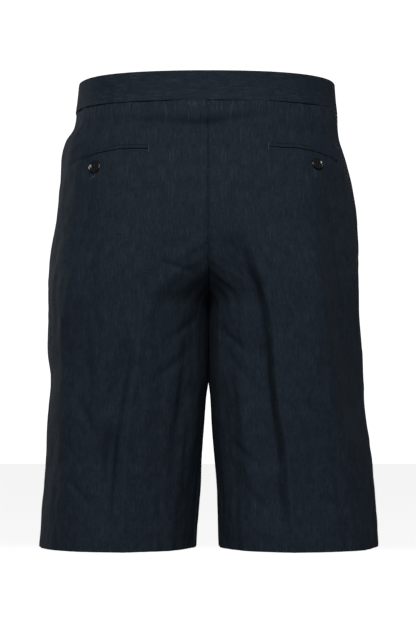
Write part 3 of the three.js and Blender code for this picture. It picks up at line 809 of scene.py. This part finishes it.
def new_button(name, place, material):
    """A dished button with four holes, turned from its profile and drilled."""
    bm = bmesh.new()
    verts = [bm.verts.new((r, 0, h)) for r, h in zip(BUTTON_PROFILE["r"], BUTTON_PROFILE["h"])]
    edges = [bm.edges.new(pair) for pair in zip(verts, verts[1:])]
    bmesh.ops.spin(
        bm, geom=verts + edges, cent=(0, 0, 0), axis=(0, 0, 1), angle=math.tau,
        steps=BUTTON_TURNS, use_merge=True,
    )
    bmesh.ops.remove_doubles(bm, verts=bm.verts, dist=1e-3)
    bmesh.ops.recalc_face_normals(bm, faces=bm.faces)
    blank = finished(bm, name + "_blank", material)
    drills = bmesh.new()
    for k in range(HOLE["count"]):
        angle = math.radians(HOLE["first"] + 360 / HOLE["count"] * k)
        spot = Matrix.Translation((HOLE["out"] * math.cos(angle), HOLE["out"] * math.sin(angle), 0))
        bmesh.ops.create_cone(
            drills, cap_ends=True, segments=HOLE["sides"], radius1=HOLE["radius"], radius2=HOLE["radius"],
            depth=HOLE["long"], matrix=spot,
        )
    drill = finished(drills, name + "_drill", material)
    cut = blank.modifiers.new("holes", "BOOLEAN")
    cut.operation = "DIFFERENCE"
    cut.object = drill
    bpy.context.view_layer.update()
    mesh = bpy.data.meshes.new_from_object(blank.evaluated_get(bpy.context.evaluated_depsgraph_get()))
    for scrap in (blank, drill):
        bpy.data.objects.remove(scrap)
    piece = shown(name + "_horn", mesh)
    place = place.copy()
    place.translation *= MM
    mesh.transform(place)
    for face in mesh.polygons:
        face.use_smooth = True
    soften = piece.modifiers.new("rims", "BEVEL")
    soften.affect = "EDGES"
    soften.width = BUTTON_RIMS["width"] * MM
    soften.segments = BUTTON_RIMS["segments"]
    soften.profile = 0.5
    soften.material = -1
    soften.limit_method = "ANGLE"
    soften.angle_limit = math.radians(BUTTON_RIMS["angle"])
    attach(piece, BODY)
    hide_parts(name)
    return piece


def button_thread(place):
    """Four strands of thread that hold a button, two over each pair of holes."""
    strands = []
    turn = place.to_3x3()
    for across in (-1, 1):
        for beside in (-BUTTON_THREAD["beside"], BUTTON_THREAD["beside"]):
            hole_y = across * HOLE["out"] * math.sin(math.radians(HOLE["first"]))
            spot = Vector((0, hole_y + beside, BUTTON_THREAD["up"]))
            size = (BUTTON_THREAD["long"], BUTTON_THREAD["thick"], BUTTON_THREAD["thick"])
            strands.append((place @ spot, turn @ Vector((0, 0, 1)), turn @ Vector((1, 0, 0)), size))
    return strands


def pocket_button_place(side):
    """Where a pocket's button sits, as the CAD button does."""
    row = POCKET_BUTTONS[side]
    z = np.array(row["z"])
    turn = turn_at(side, z, np.array(row["x"]))
    out = normal_of(cloth, side, turn, z)
    direction = Matrix.Rotation(math.radians(-side * row["turn"]), 3, "Z") @ Vector(out)
    lift = BUTTON_FOOT * math.sin(math.radians(row["turn"]))
    middle = Vector(cloth(side, turn, z)) + Vector(out) * lift + direction * BUTTON_CLEAR
    return Matrix.Translation(middle) @ facing(direction, BUTTON_ALONG["pocket"])


# Materials


def new_finish(name):
    material = bpy.data.materials.new(name)
    material.use_nodes = True
    return material, material.node_tree.nodes["Principled BSDF"]


def fill(owner, node, inputs):
    """Fills or links the inputs of a material's or a world's node, by name or number."""
    for name, value in inputs.items():
        if isinstance(value, bpy.types.NodeSocket):
            owner.node_tree.links.new(value, node.inputs[name])
        else:
            node.inputs[name].default_value = value
    return node


def wire(material, kind, inputs, **settings):
    """Adds a node, with its settings and its inputs."""
    node = material.node_tree.nodes.new(kind)
    for name, value in settings.items():
        setattr(node, name, value)
    return fill(material, node, inputs)


def math_node(material, operation, *values):
    return wire(material, "ShaderNodeMath", dict(enumerate(values)), operation=operation).outputs[0]


def cut_noise(material, cut, across, down, detail):
    """Noise on the flat cut, with patches of the given size in millimetres."""
    size = (1 / (across * MM), 1 / (down * MM), 1)
    scaled = wire(material, "ShaderNodeMapping", {"Vector": cut, "Scale": size}).outputs[0]
    return wire(material, "ShaderNodeTexNoise", {"Vector": scaled, "Scale": 1.0, "Detail": detail}).outputs[0]


def band_of(material, value, low, high):
    """A value stretched from low..high to 0..1, held inside it."""
    return wire(
        material, "ShaderNodeMapRange", {"Value": value, "From Min": low, "From Max": high}, clamp=True
    ).outputs[0]


def mix_colours(material, share, first, second):
    return wire(material, "ShaderNodeMix", {0: share, 6: first, 7: second}, data_type="RGBA").outputs[2]


LINEN = {
    "deep": (0.0078, 0.0115, 0.0168, 1),
    "navy": (0.0240, 0.0338, 0.0468, 1),
    # The lightest colour: the slubs', and the painted highlight on the puckers.
    "slub_and_highlight": (0.0480, 0.0638, 0.0850, 1),
    # The paler colour: wear, and painted shine on pressed edges.
    "worn": (0.0300, 0.0410, 0.0570, 1),
}
# Patterns of the linen: their patches across and down the cut in millimetres, how ragged they are,
# which part of the noise shows, and how strongly.
LINEN_PATTERNS = {
    "slubs": {"across": 1.0, "down": 22, "detail": 2, "low": 0.58, "high": 0.82, "share": 0.75},
    "weft slubs": {"across": 12, "down": 1.0, "detail": 2, "low": 0.6, "high": 0.8, "share": 0.35},
    "heather": {"across": 1.7, "down": 6, "detail": 3, "low": 0.2, "high": 0.8, "share": 0.62},
    "clouds": {"across": 9, "down": 15, "detail": 5, "low": 0.25, "high": 0.75, "share": 0.38},
    # The puckers' pattern lifts the cloth by bump, and it is painted lighter as a highlight on their ridges.
    "puckers_and_highlight": {"across": 2.4, "down": 16, "detail": 2, "low": 0.46, "high": 0.66, "share": 0.8},
}
WEAVE = {"pitch": 0.62, "gaps": 0.35, "relief": 0.3, "bump": 0.1, "strength": 0.6}
LINEN_GLOSS = {
    "Roughness": 0.86,
    "Specular IOR Level": 0.04,
    "Sheen Weight": 0.005,
    "Sheen Roughness": 0.45,
    "Sheen Tint": (0.55, 0.68, 0.9, 1),
}
PUCKER_BUMP = 1.5
# How far the pressed edges lean to the paler colour: wear, and painted shine.
WEAR_AND_SHINE_SHARE = 0.12


def linen_pattern(material, cut, name):
    """One of the linen's patterns, from 0 to its share."""
    row = LINEN_PATTERNS[name]
    noise = cut_noise(material, cut, row["across"], row["down"], row["detail"])
    shown = band_of(material, noise, row["low"], row["high"])
    return math_node(material, "MULTIPLY", shown, row["share"])


def linen_finish(name, grain_across=False):
    """Plain linen: thick and thin threads, slubs, a soft cloudy dye, pressed edges paler with wear and
    painted shine, and a painted highlight on the puckers under the waistband.
    """
    material, shader = new_finish(name)
    cut = wire(material, "ShaderNodeUVMap", {}, uv_map="cut").outputs[0]
    if grain_across:
        quarter = (0, 0, math.pi / 2)
        cut = wire(material, "ShaderNodeMapping", {"Vector": cut, "Rotation": quarter}).outputs[0]
    thread = (1 / (WEAVE["pitch"] * MM),) * 2 + (1,)
    pitch = wire(material, "ShaderNodeMapping", {"Vector": cut, "Scale": thread}).outputs[0]
    parts = wire(material, "ShaderNodeSeparateXYZ", {"Vector": pitch})
    warp = math_node(material, "SINE", math_node(material, "MULTIPLY", parts.outputs[0], math.pi))
    weft = math_node(material, "SINE", math_node(material, "MULTIPLY", parts.outputs[1], math.pi))
    weave = math_node(material, "ABSOLUTE", math_node(material, "MULTIPLY", warp, weft))
    # Where the cloth is paler at its pressed edges: wear, and painted shine.
    worn = wire(material, "ShaderNodeAttribute", {}, attribute_name="worn").outputs["Fac"]
    gather = wire(material, "ShaderNodeAttribute", {}, attribute_name="gather").outputs["Fac"]
    heather = linen_pattern(material, cut, "heather")
    tone = math_node(material, "ADD", heather, linen_pattern(material, cut, "clouds"))
    colour = mix_colours(material, tone, LINEN["deep"], LINEN["navy"])
    worn_share = math_node(material, "MULTIPLY", worn, WEAR_AND_SHINE_SHARE)
    colour = mix_colours(material, worn_share, colour, LINEN["worn"])
    slubs = linen_pattern(material, cut, "slubs")
    slubs_and_pucker_highlight = math_node(material, "ADD", slubs, linen_pattern(material, cut, "weft slubs"))
    # Painted highlight: the pucker ridges under the waistband are painted lighter, as if they catch the
    # light; they also lift the cloth by bump.
    puckers_and_highlight = math_node(material, "MULTIPLY", linen_pattern(material, cut, "puckers_and_highlight"), gather)
    slubs_and_pucker_highlight = math_node(material, "ADD", slubs_and_pucker_highlight, puckers_and_highlight)
    colour = mix_colours(material, slubs_and_pucker_highlight, colour, LINEN["slub_and_highlight"])
    gaps = math_node(material, "MULTIPLY", math_node(material, "SUBTRACT", 1.0, weave), WEAVE["gaps"])
    colour = mix_colours(material, gaps, colour, LINEN["deep"])
    pulled = wire(
        material, "ShaderNodeBump", {"Height": puckers_and_highlight, "Strength": 1.0, "Distance": PUCKER_BUMP * MM}
    ).outputs[0]
    lift = math_node(material, "ADD", math_node(material, "MULTIPLY", weave, WEAVE["relief"]), slubs_and_pucker_highlight)
    bump = {"Height": lift, "Strength": WEAVE["strength"], "Distance": WEAVE["bump"] * MM, "Normal": pulled}
    surface = {"Base Color": colour, "Normal": wire(material, "ShaderNodeBump", bump).outputs[0]}
    fill(material, shader, surface | LINEN_GLOSS)
    return material


def thread_finish(name, colour):
    """Sewing thread: a fine twist, almost without gloss."""
    material, shader = new_finish(name)
    place = wire(material, "ShaderNodeTexCoord", {}).outputs["Object"]
    twist = {"Vector": place, "Scale": 2600.0, "Detail": 2.0}
    grain = wire(material, "ShaderNodeTexNoise", twist).outputs[0]
    darker = tuple(c * 0.6 for c in colour[:3]) + (1,)
    mixed = mix_colours(material, grain, darker, colour)
    bump = wire(material, "ShaderNodeBump", {"Height": grain, "Strength": 0.4, "Distance": 0.1 * MM})
    surface = {"Base Color": mixed, "Normal": bump.outputs[0], "Roughness": 0.7, "Specular IOR Level": 0.05}
    fill(material, shader, surface)
    return material


def horn_finish():
    """Dark polished horn, with soft streaks."""
    material, shader = new_finish("dark_horn")
    place = wire(material, "ShaderNodeTexCoord", {}).outputs["Object"]
    streaks = wire(material, "ShaderNodeMapping", {"Vector": place, "Scale": (120, 120, 420)})
    streaky = {"Vector": streaks.outputs[0], "Scale": 1.6, "Detail": 4.0, "Distortion": 1.2}
    pattern = wire(material, "ShaderNodeTexNoise", streaky).outputs[0]
    tone = band_of(material, pattern, 0.35, 0.7)
    colour = mix_colours(material, tone, (0.0026, 0.0024, 0.0023, 1), (0.0110, 0.0092, 0.0084, 1))
    polish = {"Value": pattern, "To Min": 0.06, "To Max": 0.16}
    rough = wire(material, "ShaderNodeMapRange", polish).outputs[0]
    fill(material, shader, {"Base Color": colour, "Roughness": rough, "Specular IOR Level": 0.6})
    return material


linen = linen_finish("navy_linen")
band_linen = linen_finish("navy_linen_band", grain_across=True)
navy_thread = thread_finish("navy_thread", (0.0390, 0.0560, 0.0810, 1))
tack_thread = thread_finish("tack_thread", (0.078, 0.110, 0.156, 1))
horn = horn_finish()

for side in (LEFT, RIGHT):
    for face in (BACK, FRONT):
        leg_panel(side, face, linen)
band = waistband(band_linen)
lips = {side: [pocket_lip(side, name, linen) for name in LIPS] for side in (LEFT, RIGHT)}

for side in (LEFT, RIGHT):
    name = leg_name(side)
    place = pocket_button_place(side)
    new_button("pocket_button_" + name, place, horn)
    mouth, hole = MOUTHS[side], BUTTONHOLES[side]
    tack_x, tack_z = mouth["x"][0] - TACK["inward"], mouth["z"][0]
    tack_ends = (tack_x, tack_z + TACK["up"], tack_x, tack_z - TACK["down"])
    tack = satin(side, BACK, *tack_ends, TACK["wide"], TACK["out"])
    for k in np.flatnonzero(HOLE_ENDS["side"] == side):
        tack += satin(side, BACK, *(HOLE_ENDS[part][k] for part in ("x1", "z1", "x2", "z2", "wide")))
    thread_object("pocket_tacks_" + name, tack, tack_thread)
    edges = []
    for beside in (-HOLE_EDGE["beside"], HOLE_EDGE["beside"]):
        x = hole["x"] + beside
        edges += satin(side, BACK, x, hole["top"], x, hole["bottom"], HOLE_EDGE["wide"])
    edges += button_thread(place)
    thread_object("buttonhole_edges_" + name, edges, navy_thread)
    hem_lines = []
    for face in (BACK, FRONT):
        z = HEM["z"] + HEM["turn_up"]
        turns = row_turns(side, face, z)[0]
        hem_lines += running_stitch(side, turns, np.full_like(turns, z))
    thread_object("hem_stitches_" + name, hem_lines, navy_thread)

seat_z = np.linspace(SEAT_STITCH["top"], SEAT_STITCH["bottom"], LINE_SAMPLES)
seat_turns = turn_at(LEFT, seat_z, np.full_like(seat_z, SEAT_STITCH["x"]))
thread_object("seat_topstitch", running_stitch(LEFT, seat_turns, seat_z), navy_thread)
fly_spots = np.linspace(0, len(FLY_STITCH["x"]) - 1, LINE_SAMPLES)
fly_x, fly_z = (np.interp(fly_spots, range(len(FLY_STITCH[axis])), FLY_STITCH[axis]) for axis in "xz")
thread_object("fly_stitches", running_stitch(LEFT, -turn_at(LEFT, fly_z, fly_x), fly_z), navy_thread)

waist_normal = Vector(normal_of(bare, RIGHT, np.array(math.pi / 2), np.array(0.0)))
waist_out = BAND["proud"] + BUTTON_CLEAR
waist_spot = Vector(band_point(np.array([180.0]), np.array([0.0]), np.array([waist_out]))[0])
waist_place = Matrix.Translation(waist_spot) @ facing(waist_normal, BUTTON_ALONG["waist"])
new_button("waist_button", waist_place, horn)
thread_object("waist_button_thread", button_thread(waist_place) + waist_hole(), navy_thread)

# Camera, light and floor, in metres
IMAGE = {"height": 624, "focal": 1963.9}  # in pixels
CAMERA = {"place": (-0.0006, -2.3, -0.335), "sensor": 36, "up": 2.16}  # up in degrees
camera_data = bpy.data.cameras.new("camera")
camera_data.sensor_width = CAMERA["sensor"]
camera_data.lens = IMAGE["focal"] * CAMERA["sensor"] / IMAGE["height"]
camera = shown("camera", camera_data)
camera.location = CAMERA["place"]
camera.rotation_euler = (math.radians(90 + CAMERA["up"]), 0, 0)
bpy.context.scene.camera = camera

LIGHTS = table(
    "x y z size power",
    (-0.18, -2.5, 0.98, 1.3, 61),
    (-1.2, 0.9, 0.0, 0.4, 11),
    (1.2, 0.9, 0.0, 0.4, 3),
    (0.3, 2.4, 0.9, 1.4, 24),
)
AIM = Vector((0, 0, -0.25))
WORLD_LIGHT = 0.13
FLOOR = {"z": -0.78, "half": 9, "glow": 0.8}
BACKDROP = {"radius": 14, "glow": 1.0}
for k in range(len(LIGHTS["x"])):
    lamp = bpy.data.lights.new(f"softbox_{k}", "AREA")
    lamp.size = LIGHTS["size"][k]
    lamp.energy = LIGHTS["power"][k]
    light = shown(f"softbox_{k}", lamp)
    light.location = [LIGHTS[axis][k] for axis in "xyz"]
    light.rotation_euler = (AIM - light.location).to_track_quat("-Z", "Y").to_euler()

world = bpy.data.worlds.new("studio")
world.use_nodes = True
fill(world, world.node_tree.nodes["Background"], {"Color": (1, 1, 1, 1), "Strength": WORLD_LIGHT})
bpy.context.scene.world = world


def pale(name, colour, glow):
    """A pale finish with a glow, for the floor and the backdrop."""
    material, shader = new_finish(name)
    place = wire(material, "ShaderNodeTexCoord", {}).outputs["Object"]
    grain = wire(material, "ShaderNodeTexNoise", {"Vector": place, "Scale": 3.0}).outputs[0]
    bright = mix_colours(material, grain, tuple(c * 0.99 for c in colour[:3]) + (1,), colour)
    surface = {"Base Color": bright, "Roughness": 0.9, "Emission Color": colour, "Emission Strength": glow}
    fill(material, shader, surface)
    return material


def staged(bm, name, material):
    """A part of the stage. It is only for the eye: it throws no light or shadow on the dark cloth."""
    thing = made(bm, name, material)
    for ray in ("visible_diffuse", "visible_glossy", "visible_transmission", "visible_shadow"):
        setattr(thing, ray, False)


floor_shape = bmesh.new()
floor_place = Matrix.Translation((0, 0, FLOOR["z"]))
bmesh.ops.create_grid(floor_shape, x_segments=8, y_segments=8, size=FLOOR["half"], matrix=floor_place)
staged(floor_shape, "floor", pale("pale_floor", (0.96, 0.96, 0.96, 1), FLOOR["glow"]))
backdrop_shape = bmesh.new()
bmesh.ops.create_icosphere(backdrop_shape, subdivisions=4, radius=BACKDROP["radius"])
staged(backdrop_shape, "backdrop", pale("pale_backdrop", (1, 1, 1, 1), BACKDROP["glow"]))

bpy.context.scene.view_settings.view_transform = "Standard"
